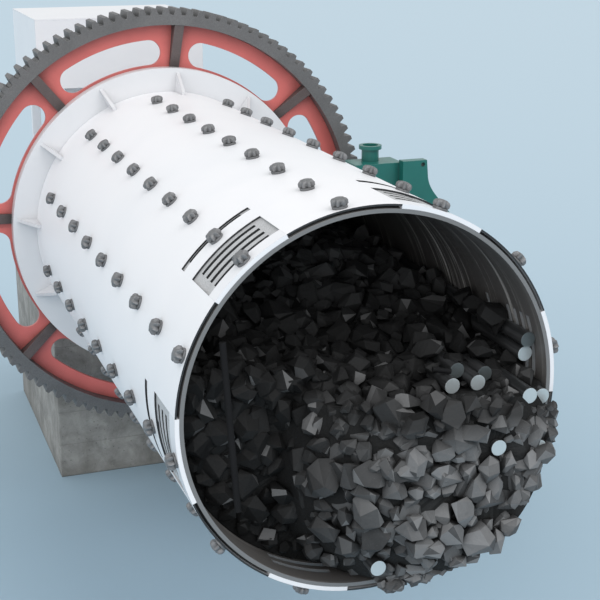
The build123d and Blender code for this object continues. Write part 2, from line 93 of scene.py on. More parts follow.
def makeCamera():
    data = bpy.data.cameras.new("camera")
    data.lens = cameraView["lens"]
    data.sensor_width = cameraView["sensor"]
    data.clip_end = cameraView["farthest"]
    camera = newObject("camera", data)
    camera.location = cameraView["place"]
    sight = Vector(cameraView["aim"]) - Vector(cameraView["place"])
    camera.rotation_euler = sight.to_track_quat("-Z", "Y").to_euler()
    bpy.context.scene.camera = camera


makeCamera()
bpy.context.scene.view_settings.view_transform = "Standard"
print("camera set")


# Node helpers
def addNode(tree, kind, inputs=None, **settings):
    node = tree.nodes.new(kind)
    for key, value in settings.items():
        setattr(node, key, value)
    for key, value in (inputs or {}).items():
        if isinstance(value, bpy.types.NodeSocket):
            tree.links.new(value, node.inputs[key])
        else:
            node.inputs[key].default_value = value
    return node


def calc(tree, operation, first, *others):  # works through the other values from left to right
    for other in others or (0.0,):
        first = addNode(tree, "ShaderNodeMath", {0: first, 1: other}, operation=operation).outputs[0]
    return first


def weighted(tree, *parts):  # sum of (value, weight) pairs
    return calc(tree, "ADD", *(calc(tree, "MULTIPLY", value, weight) for value, weight in parts))


def blend(tree, mask, first, second, mode="MIX"):
    node = addNode(tree, "ShaderNodeMix", data_type="RGBA", blend_type=mode)
    for index, value in ((0, mask), (6, first), (7, second)):  # its factor and its two colours
        if isinstance(value, bpy.types.NodeSocket):
            tree.links.new(value, node.inputs[index])
        else:
            node.inputs[index].default_value = value if index == 0 else (*value, 1.0)
    return node.outputs[2]


def remap(tree, value, span, result=(0.0, 1.0)):
    ends = {"From Min": span[0], "From Max": span[1], "To Min": result[0], "To Max": result[1]}
    return addNode(tree, "ShaderNodeMapRange", {"Value": value, **ends}).outputs[0]


noiseSpan = (0.3, 0.7)  # what most values of a noise lie between


def shifted(start, span):
    return start + span[0], start + span[1]


def objectPlace(tree):
    return addNode(tree, "ShaderNodeTexCoord").outputs["Object"]


def coordinates(tree, vector):
    return addNode(tree, "ShaderNodeSeparateXYZ", {0: vector}).outputs


def noiseAt(tree, place, scale, detail=3.0, roughness=0.5, distortion=0.0):
    node = addNode(
        tree, "ShaderNodeTexNoise",
        {"Vector": place, "Scale": scale, "Detail": detail, "Roughness": roughness, "Distortion": distortion},
    )
    return node.outputs[0]


def stretchedNoise(tree, place, scales, roughness):
    stretched = addNode(tree, "ShaderNodeMapping", {"Vector": place, "Scale": scales})
    return noiseAt(tree, stretched.outputs[0], 1.0, 5.0, roughness)


def cellDistance(tree, place, scale):  # from the middle of the nearest cell
    return addNode(tree, "ShaderNodeTexVoronoi", {"Vector": place, "Scale": scale}).outputs["Distance"]


def newGroup(name, inputs, outputs):  # inputs are numbers, given with their usual values
    group = bpy.data.node_groups.new(name, "ShaderNodeTree")
    for label, value in inputs.items():
        socket = group.interface.new_socket(label, in_out="INPUT", socket_type="NodeSocketFloat")
        socket.default_value = value
    for label, kind in outputs.items():
        group.interface.new_socket(label, in_out="OUTPUT", socket_type="NodeSocket" + kind)
    return group, group.nodes.new("NodeGroupInput"), group.nodes.new("NodeGroupOutput")


# The spans of shape and noise that the shared effects turn into masks
effectSpans = {
    "edgeLikeness": (0.995, 0.86), "edgePatches": (0.38, 0.62),
    "cornerLight": (0.92, 0.35), "grimePatches": (0.25, 0.65), "grimeAmount": (0.35, 1.0),
}


# Edge wear: where a rounded normal leaves the flat one, broken up by noise
def makeEdgeWear():
    inputs = {"Radius": 0.006, "Amount": 0.6, "Breakup Scale": 14.0}
    tree, given, made = newGroup("edge wear", inputs, {"Mask": "Float", "Normal": "Vector"})
    rounded = addNode(tree, "ShaderNodeBevel", {"Radius": given.outputs["Radius"]}, samples=4).outputs[0]
    flat = addNode(tree, "ShaderNodeNewGeometry").outputs["Normal"]
    likeness = addNode(tree, "ShaderNodeVectorMath", {0: rounded, 1: flat}, operation="DOT_PRODUCT")
    bend = remap(tree, likeness.outputs["Value"], effectSpans["edgeLikeness"])
    breakup = noiseAt(tree, objectPlace(tree), given.outputs["Breakup Scale"], 5.0, 0.65)
    patches = remap(tree, breakup, effectSpans["edgePatches"])
    tree.links.new(calc(tree, "MULTIPLY", bend, patches, given.outputs["Amount"]), made.inputs["Mask"])
    tree.links.new(rounded, made.inputs["Normal"])
    return tree


# Painted shade and grime in corners and round whatever stands on a surface: ambient occlusion darkens them,
# broken up by noise
def makeCornerShadeAndGrime():
    inputs = {"Distance": 0.08, "Amount": 0.6, "Breakup Scale": 7.0}
    tree, given, made = newGroup("corner grime", inputs, {"Mask": "Float"})
    light = addNode(tree, "ShaderNodeAmbientOcclusion", {"Distance": given.outputs["Distance"]}, samples=6)
    closed = remap(tree, light.outputs["AO"], effectSpans["cornerLight"])
    breakup = noiseAt(tree, objectPlace(tree), given.outputs["Breakup Scale"], 6.0, 0.6)
    patches = remap(tree, breakup, effectSpans["grimePatches"], effectSpans["grimeAmount"])
    tree.links.new(calc(tree, "MULTIPLY", closed, patches, given.outputs["Amount"]), made.inputs["Mask"])
    return tree


# Two sizes of unevenness that every surface has
def makeGrain():
    inputs = {"Coarse Scale": 1.5, "Fine Scale": 60.0}
    tree, given, made = newGroup("surface grain", inputs, {"Coarse": "Float", "Fine": "Float"})
    place = objectPlace(tree)
    tree.links.new(noiseAt(tree, place, given.outputs["Coarse Scale"], 4.0, 0.55, 0.6), made.inputs["Coarse"])
    tree.links.new(noiseAt(tree, place, given.outputs["Fine Scale"], 4.0, 0.6), made.inputs["Fine"])
    return tree


edgeWear = makeEdgeWear()
cornerShadeAndGrime = makeCornerShadeAndGrime()
grain = makeGrain()


def useGroup(tree, group, **values):
    node = addNode(tree, "ShaderNodeGroup", node_tree=group)
    for key, value in values.items():
        node.inputs[key.replace("_", " ")].default_value = value
    return node.outputs


def roundedNormal(tree, radius):  # soft edges without the wear
    return useGroup(tree, edgeWear, Radius=radius, Amount=0.0)["Normal"]


# Which settings of a look go straight to its shader
shaderInputs = {
    "metal": "Metallic", "gloss": "Specular IOR Level", "coat": "Coat Weight", "coatRough": "Coat Roughness",
}


def newMaterial(name, look):
    material = bpy.data.materials.new(name)
    material.use_nodes = True
    tree = material.node_tree
    shader = tree.nodes["Principled BSDF"]
    for key in shaderInputs.keys() & look.keys():
        shader.inputs[shaderInputs[key]].default_value = look[key]
    return material, tree, shader


def finishSurface(tree, shader, look, colour, uneven, height, normal=None, grime=None):
    rough = remap(tree, uneven, noiseSpan, look["rough"])
    if grime is not None:
        rough = weighted(tree, (rough, 1.0), (grime, look["grimeRough"]))
    bump = addNode(tree, "ShaderNodeBump", {"Strength": 1.0, "Distance": look["bump"], "Height": height})
    if normal is not None:
        tree.links.new(normal, bump.inputs["Normal"])
    tree.links.new(colour, shader.inputs["Base Color"])
    tree.links.new(rough, shader.inputs["Roughness"])
    tree.links.new(bump.outputs[0], shader.inputs["Normal"])


wallDepth = 0.0012  # how far under its skin a plate starts to count as the wall of a window


# Mask of what lies nearer the drum axis than a radius: the walls of windows and slits
def insideRadius(tree, radius, fade=0.0006):
    parts = coordinates(tree, objectPlace(tree))
    up = calc(tree, "SUBTRACT", parts["Z"], axisZ)
    squares = calc(tree, "ADD", calc(tree, "POWER", parts["X"], 2.0), calc(tree, "POWER", up, 2.0))
    return remap(tree, calc(tree, "SQRT", squares), (radius, radius - fade))


# What paint and steel share: grain, worn edges, painted shade and grime in the corners and a patchy colour
def metalSurface(tree, look):
    surface = useGroup(tree, grain, Coarse_Scale=look["coarse"], Fine_Scale=look["fine"])
    worn = useGroup(tree, edgeWear, Radius=look["edge"], Amount=look["wear"], Breakup_Scale=look["chips"])
    shadedAndDirty = useGroup(
        tree, cornerShadeAndGrime, Distance=look["grimeReach"], Amount=look["grime"],
        Breakup_Scale=look["grimeBreakup"],
    )
    colour = blend(tree, remap(tree, surface["Coarse"], noiseSpan), look["colour"], look["faded"])
    return surface, worn, shadedAndDirty["Mask"], colour


# What a paint or a steel has where its own look says nothing else
paintLook = {"grimeBreakup": 5.0, "grimeRough": 0.25, "coatRough": 0.12}
steelLook = {
    "grimeBreakup": 9.0, "speckleSpan": (0.35, 0.7), "speckle": 0.35, "grime": 0.5, "grimeReach": 0.02,
    "coarse": 3.0, "edge": 0.003, "wear": 0.5, "chips": 30.0, "rough": (0.40, 0.55), "bump": 0.0003,
}


# Paint on metal, with painted shade and grime in its corners and chips along its edges
def paint(name, look):
    look = {**paintLook, **look}
    material, tree, shader = newMaterial(name, look)
    surface, worn, shadedAndDirty, colour = metalSurface(tree, look)
    colour = blend(tree, shadedAndDirty, colour, look["dirt"])
    colour = blend(tree, worn["Mask"], colour, look["under"])
    finishSurface(tree, shader, look, colour, surface["Coarse"], surface["Fine"], worn["Normal"], shadedAndDirty)
    return material


# Cast or worn steel, brighter on its edges, with painted shade and grime in its corners
def steel(name, look, wallRadius=None):
    look = {**steelLook, **look}
    material, tree, shader = newMaterial(name, look)
    surface, worn, shadedAndDirty, colour = metalSurface(tree, look)
    speckle = remap(tree, surface["Fine"], look["speckleSpan"], (0.0, look["speckle"]))
    colour = blend(tree, speckle, colour, look["dirt"])
    colour = blend(tree, shadedAndDirty, colour, look["dirt"])
    colour = blend(tree, worn["Mask"], colour, look["bright"])
    # Where a radius is given, the walls of slits nearer the axis are painted nearly black as their shade
    if wallRadius:
        colour = blend(tree, insideRadius(tree, wallRadius), colour, look["dirt"])
    finishSurface(tree, shader, look, colour, surface["Fine"], surface["Fine"], worn["Normal"])
    return material


whiteLook = {
    "colour": (0.86, 0.85, 0.865), "faded": (0.80, 0.80, 0.83), "under": (0.30, 0.30, 0.31),
    "dirt": (0.45, 0.45, 0.47), "grime": 0.35, "grimeReach": 0.05, "coarse": 0.9, "fine": 90.0,
    "edge": 0.004, "wear": 0.25, "chips": 18.0, "rough": (0.26, 0.36), "coat": 0.35, "bump": 0.0004,
}
flangeLook = dict(whiteLook, colour=(0.72, 0.72, 0.735), faded=(0.68, 0.68, 0.70), coat=0.1)
greenLook = {
    "colour": (0.008, 0.150, 0.125), "faded": (0.006, 0.120, 0.102), "under": (0.16, 0.20, 0.20),
    "dirt": (0.02, 0.05, 0.05), "grime": 0.55, "grimeReach": 0.06, "coarse": 2.2, "fine": 110.0,
    "edge": 0.006, "wear": 0.20, "chips": 22.0, "rough": (0.30, 0.42), "coat": 0.2, "bump": 0.0005,
}
redLook = {
    "colour": (0.74, 0.170, 0.152), "faded": (0.64, 0.145, 0.13), "under": (0.20, 0.16, 0.16),
    "dirt": (0.16, 0.05, 0.045), "grime": 0.75, "grimeReach": 0.10, "coarse": 1.8, "fine": 80.0,
    "edge": 0.008, "wear": 0.45, "chips": 16.0, "rough": (0.38, 0.50), "coat": 0.1, "bump": 0.0006,
}
gearLook = {
    "colour": (0.190, 0.184, 0.184), "faded": (0.145, 0.142, 0.142), "bright": (0.40, 0.40, 0.40),
    "dirt": (0.045, 0.045, 0.045), "grime": 0.8, "grimeReach": 0.05, "fine": 140.0,
    "edge": 0.004, "wear": 0.6, "rough": (0.42, 0.60), "metal": 0.35, "bump": 0.0006,
}
ribLook = {
    "colour": (0.155, 0.122, 0.118), "faded": (0.115, 0.088, 0.085), "bright": (0.32, 0.29, 0.28),
    "dirt": (0.045, 0.038, 0.036), "grime": 0.9, "grimeReach": 0.09, "fine": 120.0,
    "edge": 0.005, "chips": 22.0, "rough": (0.45, 0.62), "metal": 0.25, "bump": 0.0006,
}
grateLook = {
    "colour": (0.62, 0.62, 0.625), "faded": (0.54, 0.54, 0.545), "bright": (0.75, 0.75, 0.75),
    "dirt": (0.035, 0.035, 0.035), "grimeReach": 0.03, "coarse": 4.0, "fine": 150.0, "metal": 0.15,
}
boltLook = {
    "colour": (0.250, 0.250, 0.255), "faded": (0.200, 0.200, 0.205), "bright": (0.46, 0.46, 0.47),
    "dirt": (0.06, 0.06, 0.06), "grime": 0.9, "coarse": 9.0, "fine": 220.0, "edge": 0.002, "chips": 40.0,
    "metal": 0.45,
}
# Broken rods: nearly black, the shade they lie in inside the drum painted into the steel
barLook = {
    "colour": (0.010, 0.010, 0.011), "faded": (0.007, 0.007, 0.008), "bright": (0.05, 0.05, 0.05),
    "dirt": (0.02, 0.02, 0.02), "coarse": 6.0, "fine": 160.0, "wear": 0.2, "rough": (0.75, 0.90),
    "metal": 0.0, "gloss": 0.15, "bump": 0.0004,
}
machinedLook = {
    "colour": (0.46, 0.46, 0.47), "faded": (0.36, 0.36, 0.37), "bright": (0.62, 0.62, 0.62),
    "dirt": (0.12, 0.12, 0.12), "grimeReach": 0.04, "fine": 180.0, "wear": 0.4, "rough": (0.22, 0.36),
    "metal": 0.9, "bump": 0.0002,
}

whitePaint = paint("white paint", whiteLook)
flangePaint = paint("flange paint", flangeLook)
greenPaint = paint("green paint", greenLook)
redPaint = paint("red paint", redLook)
gearSteel = steel("gear steel", gearLook)
ribSteel = steel("rib steel", ribLook)
grateSteel = steel("grate steel", grateLook, reach("grate_panels") - wallDepth)
boltSteel = steel("bolt steel", boltLook)
barSteel = steel("bar steel", barLook)
machinedSteel = steel("machined steel", machinedLook)


# Mask of the faces that look out of the drum's open end
def faceToOpenEnd(tree, least=0.75, fade=0.2):
    normal = addNode(tree, "ShaderNodeTexCoord").outputs["Normal"]
    return remap(tree, coordinates(tree, normal)["Y"], (-least, -least - fade))


# Shell and feed head: white, with painted shade and grime round what stands on them, grey walls in the
# windows, and nearly black on faces that look out of the open end: the shell's end faces, and every face of
# the head turned even a little that way
shellLook = {
    "colour": (0.88, 0.87, 0.885), "faded": (0.84, 0.84, 0.86), "patches": (0.35, 0.65),
    "dirt": (0.52, 0.53, 0.55), "wall": (0.42, 0.42, 0.43), "cut": (0.022, 0.023, 0.025),
    "rough": (0.40, 0.43), "coat": 0.08, "coatRough": 0.25, "bump": 0.00001,
}


def makeShellPaint(name, look, openEndLeast, wallRadius=None):
    material, tree, shader = newMaterial(name, look)
    surface = useGroup(tree, grain, Coarse_Scale=0.8, Fine_Scale=9.0)
    # Ambient occlusion: painted shade and grime round the gussets, bolts and whatever else stands on the
    # plates
    shadedAndDirty = useGroup(tree, cornerShadeAndGrime, Distance=0.045, Amount=0.45, Breakup_Scale=9.0)
    patchy = remap(tree, surface["Coarse"], look["patches"])
    colour = blend(tree, patchy, look["colour"], look["faded"])
    colour = blend(tree, shadedAndDirty["Mask"], colour, look["dirt"])
    if wallRadius:
        colour = blend(tree, insideRadius(tree, wallRadius), colour, look["wall"])
    colour = blend(tree, faceToOpenEnd(tree, openEndLeast), colour, look["cut"])
    finishSurface(tree, shader, look, colour, surface["Fine"], surface["Fine"])
    return material


# Liner: dark and scored round the drum by the charge, more so past the rim, with a grey cut edge
linerLook = {
    "colour": (0.165, 0.155, 0.150), "scored": (0.95, 0.92, 0.88), "dull": (0.10, 0.096, 0.092),
    "edge": (0.20, 0.20, 0.202), "scores": (0.6, 22.0, 0.6), "scoreSpan": (0.55, 0.67),
    "pastRim": (0.12, 0.40), "atRim": 0.15, "dullness": 0.5,
    "metal": 0.2, "rough": (0.36, 0.55), "bump": 0.0012,
}


def makeLinerSteel(look):
    material, tree, shader = newMaterial("liner steel", look)
    place = objectPlace(tree)
    fine = useGroup(tree, grain, Coarse_Scale=2.5, Fine_Scale=70.0)["Fine"]
    scores = stretchedNoise(tree, place, look["scores"], 0.7)
    along = coordinates(tree, place)["Y"]
    inward = remap(tree, along, shifted(rimY, look["pastRim"]), (look["atRim"], 1.0))
    lines = calc(tree, "MULTIPLY", remap(tree, scores, look["scoreSpan"]), inward)
    colour = blend(tree, lines, look["colour"], look["scored"])
    colour = blend(tree, calc(tree, "MULTIPLY", fine, look["dullness"]), colour, look["dull"])
    colour = blend(tree, faceToOpenEnd(tree), colour, look["edge"])
    height = weighted(tree, (scores, 0.6), (fine, 0.4))
    finishSurface(tree, shader, look, colour, scores, height, roundedNormal(tree, 0.003))
    return material


# Rods: dark scored sides and bright sawn ends, with painted shade on the ends of rods set back in the drum,
# except low ones by the wall on the right
rodLook = {
    "side": (0.050, 0.052, 0.054), "scored": (0.15, 0.15, 0.155), "scores": (30.0, 1.6, 30.0),
    "end": (0.60, 0.66, 0.68), "shadedEnd": (0.13, 0.15, 0.155), "sawn": (0.38, 0.43, 0.45),
    "sawnAmount": 0.25, "pastRim": (0.06, 0.09), "fromWall": (0.86, 0.84), "aboveAxis": (0.16, 0.18),
    "metal": 0.55, "rough": (0.30, 0.48), "bump": 0.0005,
}


def makeRodSteel(look):
    material, tree, shader = newMaterial("rod steel", look)
    place = objectPlace(tree)
    streaks = stretchedNoise(tree, place, look["scores"], 0.65)
    colour = blend(tree, remap(tree, streaks, (0.45, 0.75)), look["side"], look["scored"])
    waves = addNode(
        tree, "ShaderNodeTexWave", {"Vector": place, "Scale": 42.0, "Distortion": 1.5, "Detail": 2.0}
    )
    sawn = calc(tree, "MULTIPLY", waves.outputs["Fac"], look["sawnAmount"])
    endColour = blend(tree, sawn, look["end"], look["sawn"])
    parts = coordinates(tree, place)
    # Painted shade on the ends that lie set back, away from the right-hand wall or high up
    setBack = remap(tree, parts["Y"], shifted(rimY, look["pastRim"]))
    fromWall = remap(tree, parts["X"], look["fromWall"])
    high = remap(tree, parts["Z"], shifted(axisZ, look["aboveAxis"]))
    shade = calc(tree, "MULTIPLY", setBack, calc(tree, "MAXIMUM", fromWall, high))
    endColour = blend(tree, shade, endColour, look["shadedEnd"])
    colour = blend(tree, faceToOpenEnd(tree), colour, endColour)
    finishSurface(tree, shader, look, colour, streaks, streaks, roundedNormal(tree, 0.004))
    return material


# Ore: broken faces, each lump its own grey, with painted shade inside the rim, and the heap under the lumps
# nearly black as painted shade.
# Each look's two shade shares are how much of the colour is left under the painted shade, near the rim and
# far in.
oreLook = {
    "dark": (0.050, 0.050, 0.051), "light": (0.235, 0.234, 0.236), "dust": (0.24, 0.24, 0.24),
    "wet": (0.08, 0.95), "gap": 0.08, "gloss": 0.22, "rough": (0.62, 0.85), "bump": 0.004,
}
# The heap under the lumps: nearly black, painted as the shade in the gaps between them
bedLook = {
    "dark": (0.010, 0.010, 0.010), "light": (0.030, 0.030, 0.030), "dust": (0.06, 0.06, 0.06),
    "wet": (0.5, 0.7), "gap": 0.05, "gloss": 0.2, "rough": (0.8, 0.95), "bump": 0.010,
}
# Where painted shade darkens the ore: inside the rim, on the left and just under the rods, less so far in; a
# few lumps keep more of their colour, and the gaps between lumps are painted nearly black
oreShade = {
    "pastRim": (-0.22, 0.16), "left": (0.20, -0.45), "belowAxis": (-0.20, -0.04), "underRods": 0.85,
    "farIn": (0.7, 2.6), "fewLumps": (0.93, 0.94), "dryLump": 0.5, "gapColour": (0.004, 0.004, 0.004),
}


def makeOre(name, look):
    material, tree, shader = newMaterial(name, look)
    place = objectPlace(tree)
    lump = addNode(tree, "ShaderNodeNewGeometry").outputs["Random Per Island"]
    veins = noiseAt(tree, place, 9.0, 6.0, 0.65, 0.8)
    crystals = cellDistance(tree, place, 55.0)
    tone = weighted(tree, (lump, 0.7), (veins, 0.45))
    colour = blend(tree, remap(tree, tone, (0.15, 1.0)), look["dark"], look["light"])
    colour = blend(tree, remap(tree, crystals, (0.16, 0.05), (0.0, 0.35)), colour, look["dust"])
    parts = coordinates(tree, place)
    # Painted shade inside the rim, on the left and under the rods
    inside = remap(tree, parts["Y"], shifted(rimY, oreShade["pastRim"]))
    left = remap(tree, parts["X"], oreShade["left"])
    under = remap(tree, parts["Z"], shifted(axisZ, oreShade["belowAxis"]), (0.0, oreShade["underRods"]))
    shadeLevel = remap(tree, parts["Y"], shifted(rimY, oreShade["farIn"]), look["wet"])
    shadedColour = blend(tree, 1.0, colour, shadeLevel, "MULTIPLY")
    shadeOnLump = remap(tree, lump, oreShade["fewLumps"], (1.0, oreShade["dryLump"]))
    wet = calc(tree, "MULTIPLY", calc(tree, "MAXIMUM", inside, left, under), shadeOnLump)
    colour = blend(tree, wet, colour, shadedColour)
    # Ambient occlusion paints the gaps between lumps nearly black as their shade
    gapShade = useGroup(tree, cornerShadeAndGrime, Distance=look["gap"], Amount=1.0, Breakup_Scale=1.0)
    colour = blend(tree, gapShade["Mask"], colour, oreShade["gapColour"])
    height = weighted(tree, (veins, 1.0), (crystals, 0.35))
    finishSurface(tree, shader, look, colour, veins, height, roundedNormal(tree, 0.006))
    return material


# Cast concrete: mottled, stained downwards, with pores, the joints between its boards and painted shade in
# its corners
concreteLook = {
    "colour": (0.180, 0.175, 0.163), "light": (0.41, 0.40, 0.378), "stain": (0.130, 0.122, 0.108),
    "pore": (0.07, 0.068, 0.064), "edge": (0.42, 0.41, 0.39), "streaks": (5.0, 5.0, 0.7),
    "board": 0.30, "joint": (0.485, 0.498), "rough": (0.78, 0.95), "bump": 0.006,
}


def makeConcrete(look):
    material, tree, shader = newMaterial("concrete", look)
    place = objectPlace(tree)
    stain = look["stain"]
    mottle = noiseAt(tree, place, 4.6, 9.0, 0.72, 0.4)
    cloud = noiseAt(tree, place, 0.8, 3.0, 0.5)
    fine = noiseAt(tree, place, 70.0, 4.0, 0.7)
    streaks = stretchedNoise(tree, place, look["streaks"], 0.6)
    pores = remap(tree, cellDistance(tree, place, 26.0), (0.16, 0.06))
    board = calc(tree, "FRACT", calc(tree, "DIVIDE", coordinates(tree, place)["Z"], look["board"]))
    fromMiddle = calc(tree, "ABSOLUTE", calc(tree, "SUBTRACT", board, 0.5))
    joint = remap(tree, fromMiddle, look["joint"])
    worn = useGroup(tree, edgeWear, Radius=0.02, Amount=0.8, Breakup_Scale=5.0)
    shadedAndDirty = useGroup(tree, cornerShadeAndGrime, Distance=0.25, Amount=0.6, Breakup_Scale=3.0)
    colour = blend(tree, remap(tree, mottle, (0.32, 0.68)), look["colour"], look["light"])
    for mask, tint in (
        (remap(tree, streaks, (0.52, 0.78), (0.0, 0.6)), stain),
        (remap(tree, cloud, (0.45, 0.75), (0.0, 0.5)), stain),
        (calc(tree, "MULTIPLY", pores, 0.6), look["pore"]),
        (calc(tree, "MULTIPLY", joint, 0.35), stain),
        (worn["Mask"], look["edge"]),
        # ambient occlusion: painted shade and grime in the corners, in the stain colour
        (shadedAndDirty["Mask"], stain),
    ):
        colour = blend(tree, mask, colour, tint)
    height = weighted(tree, (mottle, 0.7), (fine, 0.2), (pores, -0.5), (joint, -0.25))
    finishSurface(tree, shader, look, colour, mottle, height, worn["Normal"])
    return material


# Rubber of the packing between shell and liner
rubberLook = {
    "colour": (0.012, 0.012, 0.013), "faded": (0.035, 0.034, 0.034), "rough": (0.65, 0.85), "bump": 0.0008,
}


def makeRubber(look):
    material, tree, shader = newMaterial("packing rubber", look)
    fine = useGroup(tree, grain, Coarse_Scale=5.0, Fine_Scale=120.0)["Fine"]
    colour = blend(tree, fine, look["colour"], look["faded"])
    finishSurface(tree, shader, look, colour, fine, fine)
    return material


shellPaint = makeShellPaint("shell paint", shellLook, 0.75, shellRadius - wallDepth)
headPaint = makeShellPaint("head paint", shellLook, 0.05)
linerSteel = makeLinerSteel(linerLook)
rodSteel = makeRodSteel(rodLook)
ore = makeOre("ore", oreLook)
oreBed = makeOre("ore bed", bedLook)
concrete = makeConcrete(concreteLook)
packingRubber = makeRubber(rubberLook)

# Which finish each node takes, by the longest start of its name that is listed
finishes = {
    "concrete_pedestal": concrete, "drive_plinth": concrete, "packing_sheets": packingRubber,
    "shell_plate": shellPaint, "rim_blocks": whitePaint, "end_flange": flangePaint,
    "feed": whitePaint, "feed_head": headPaint, "feed_trunnion": machinedSteel,
    "liner_plate": linerSteel, "grate_panels": grateSteel,
    "gear_rim": gearSteel, "gear_web": redPaint, "gear_ribs": ribSteel,
    "pinion": machinedSteel, "pinion_gear": gearSteel, "pinion_bearing": greenPaint,
    "main_bearing": greenPaint, "reducer": greenPaint, "motor": greenPaint,
    "ore_heap": oreBed, "grinding_rods": rodSteel,
}


def dressNodes():
    for name, node in nodes.items():
        start = max((key for key in finishes if name.startswith(key)), key=len)
        node.data.materials.clear()
        node.data.materials.append(finishes[start])


dressNodes()
print("materials made and given to", len(nodes), "nodes")

# Helpers for the pieces that the frame leaves out
chance = random.Random(41)
anyTurn = 6.28  # radians


def toMesh(bm, name):
    mesh = bpy.data.meshes.new(name)
    bm.to_mesh(mesh)
    bm.free()
    return mesh


def turnedMesh(profile, steps):  # profile of (radius, height), turned about Z
    bm = bmesh.new()
    corners = [bm.verts.new((radius, 0, height)) for radius, height in profile]
    edges = [bm.edges.new(pair) for pair in zip(corners, corners[1:])]
    bmesh.ops.spin(
        bm, geom=corners + edges, cent=(0, 0, 0), axis=(0, 0, 1), angle=2 * math.pi, steps=steps,
        use_merge=True,
    )
    bmesh.ops.remove_doubles(bm, verts=bm.verts, dist=1e-5)
    bmesh.ops.recalc_face_normals(bm, faces=bm.faces)
    return toMesh(bm, "turned")


def stamp(bm, template, matrix):
    start = len(bm.verts)
    bm.from_mesh(template)
    bm.verts.ensure_lookup_table()
    bmesh.ops.transform(bm, matrix=matrix, verts=bm.verts[start:])


roundBar = turnedMesh([(0, -0.5), (1, -0.5), (1, 0.5), (0, 0.5)], 20)  # one metre long, one in radius


def stampBar(bm, first, last, radius, extra=1.0):
    way = last - first
    turn = way.to_track_quat("Z", "Y").to_matrix().to_4x4()
    size = Matrix.Diagonal((radius, radius, way.length * extra, 1.0))
    stamp(bm, roundBar, Matrix.Translation((first + last) / 2) @ turn @ size)


def addPiece(name, bm, material, body="root", sharp=35):
    mesh = toMesh(bm, name)
    mesh.shade_smooth()
    mesh.set_sharp_from_angle(angle=math.radians(sharp))
    mesh.materials.append(material)
    piece = newObject(name, mesh)
    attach(piece, body)
    print(name, len(mesh.polygons), "faces")


def onDrum(angle, radius, y):  # +Z of a template points out of the drum
    turn = Matrix.Rotation(math.radians(-angle), 4, "Y")
    outward = Matrix.Rotation(math.radians(90), 4, "Y")
    return Matrix.Translation((0, y, axisZ)) @ turn @ Matrix.Translation((radius, 0, 0)) @ outward


# Liner bolts: a cup washer and a round cap with a low dome, scalloped more towards its outside
linerBolt = {
    "rows": 12, "inRow": 9, "first": 0.055, "pitch": 0.463, "lobes": 7, "corners": 42,
    "scallop": 0.34, "domeRadius": 0.02, "scallopFrom": 0.01, "scallopOver": 0.03,
    "washer": [(0, -0.003), (0.040, -0.003), (0.040, 0.010), (0.036, 0.013), (0, 0.013)],
    "cap": [
        (0, 0.012), (0.038, 0.012), (0.046, 0.018), (0.046, 0.036),
        (0.038, 0.046), (0.020, 0.052), (0, 0.054),
    ],
}


def scallopedCap():
    mesh = turnedMesh(linerBolt["cap"], linerBolt["corners"])
    for vert in mesh.vertices:
        far = math.hypot(vert.co.x, vert.co.y)
        if far > linerBolt["domeRadius"]:
            share = min(1.0, (far - linerBolt["scallopFrom"]) / linerBolt["scallopOver"])
            wave = 0.5 + 0.5 * math.cos(linerBolt["lobes"] * math.atan2(vert.co.y, vert.co.x))
            vert.co.xy *= 1 - linerBolt["scallop"] * share * wave
    return mesh


def addLinerBolts():
    washer, cap = turnedMesh(linerBolt["washer"], 20), scallopedCap()
    bm = bmesh.new()
    for row in range(linerBolt["rows"]):
        angle = windowAngle + row * 360 / linerBolt["rows"]
        for number in range(linerBolt["inRow"]):
            place = onDrum(angle, shellRadius, rimY + linerBolt["first"] + number * linerBolt["pitch"])
            stamp(bm, washer, place)
            stamp(bm, cap, place @ Matrix.Rotation(chance.uniform(0, anyTurn), 4, "Z"))
    addPiece("liner_bolts", bm, boltSteel, "drum")


addLinerBolts()

# Lumps of ore on the heap and its spill, kept clear of the turning drum
lumps = {
    "kinds": 18, "corners": 15, "linerGap": 0.008, "rimGap": 0.008, "least": 0.030, "spillRadius": 1.03,
    "flatness": ((0.72, 0.95), (0.6, 0.85)), "roughness": (0.85, 1.0),  # of a template
    "layers": [  # spacing, smallest and largest radius, and how far each layer is sunk in the heap
        {"step": 0.094, "small": 0.055, "large": 0.118, "sunk": 0.30},
        {"step": 0.108, "small": 0.048, "large": 0.122, "sunk": -0.20},
    ],
    "smaller": 1.2, "jitter": (0.1, 0.9), "tilt": (-0.7, 0.7),
    "above": 0.9, "beforeBack": 0.05, "frontTop": 0.2,  # where lumps are dropped from and on
    "onRods": -0.6, "rodCover": 0.10,  # ore lies on the rods from this far behind the rim
    "endRadius": 0.040, "hiding": 0.85, "shrink": 0.8,  # lumps before a rod's end shrink until it shows
    "buriedEnd": (0.854, -6.199, 2.090), "sameEnd": 0.05,  # this end stays covered
    "fringe": 150, "fringeAngles": (-88, -4), "fringeRadii": (0.91, 0.99), "fringeAhead": (0.075, 0.16),
}


def lumpTemplate():
    bm = bmesh.new()
    squeeze = Vector((1.0, *(chance.uniform(*span) for span in lumps["flatness"])))
    for _ in range(lumps["corners"]):
        way = Vector((chance.gauss(0, 1), chance.gauss(0, 1), chance.gauss(0, 1))).normalized()
        bmesh.ops.create_vert(bm, co=way * squeeze * chance.uniform(*lumps["roughness"]))
    bmesh.ops.convex_hull(bm, input=bm.verts)
    inside = [vert for vert in bm.verts if not vert.link_faces]
    bmesh.ops.delete(bm, geom=inside, context="VERTS")
    bmesh.ops.recalc_face_normals(bm, faces=bm.faces)
    return toMesh(bm, "lump")


def searchTree(name):
    mesh = nodes[name].data
    return BVHTree.FromPolygons([v.co for v in mesh.vertices], [tuple(f.vertices) for f in mesh.polygons])


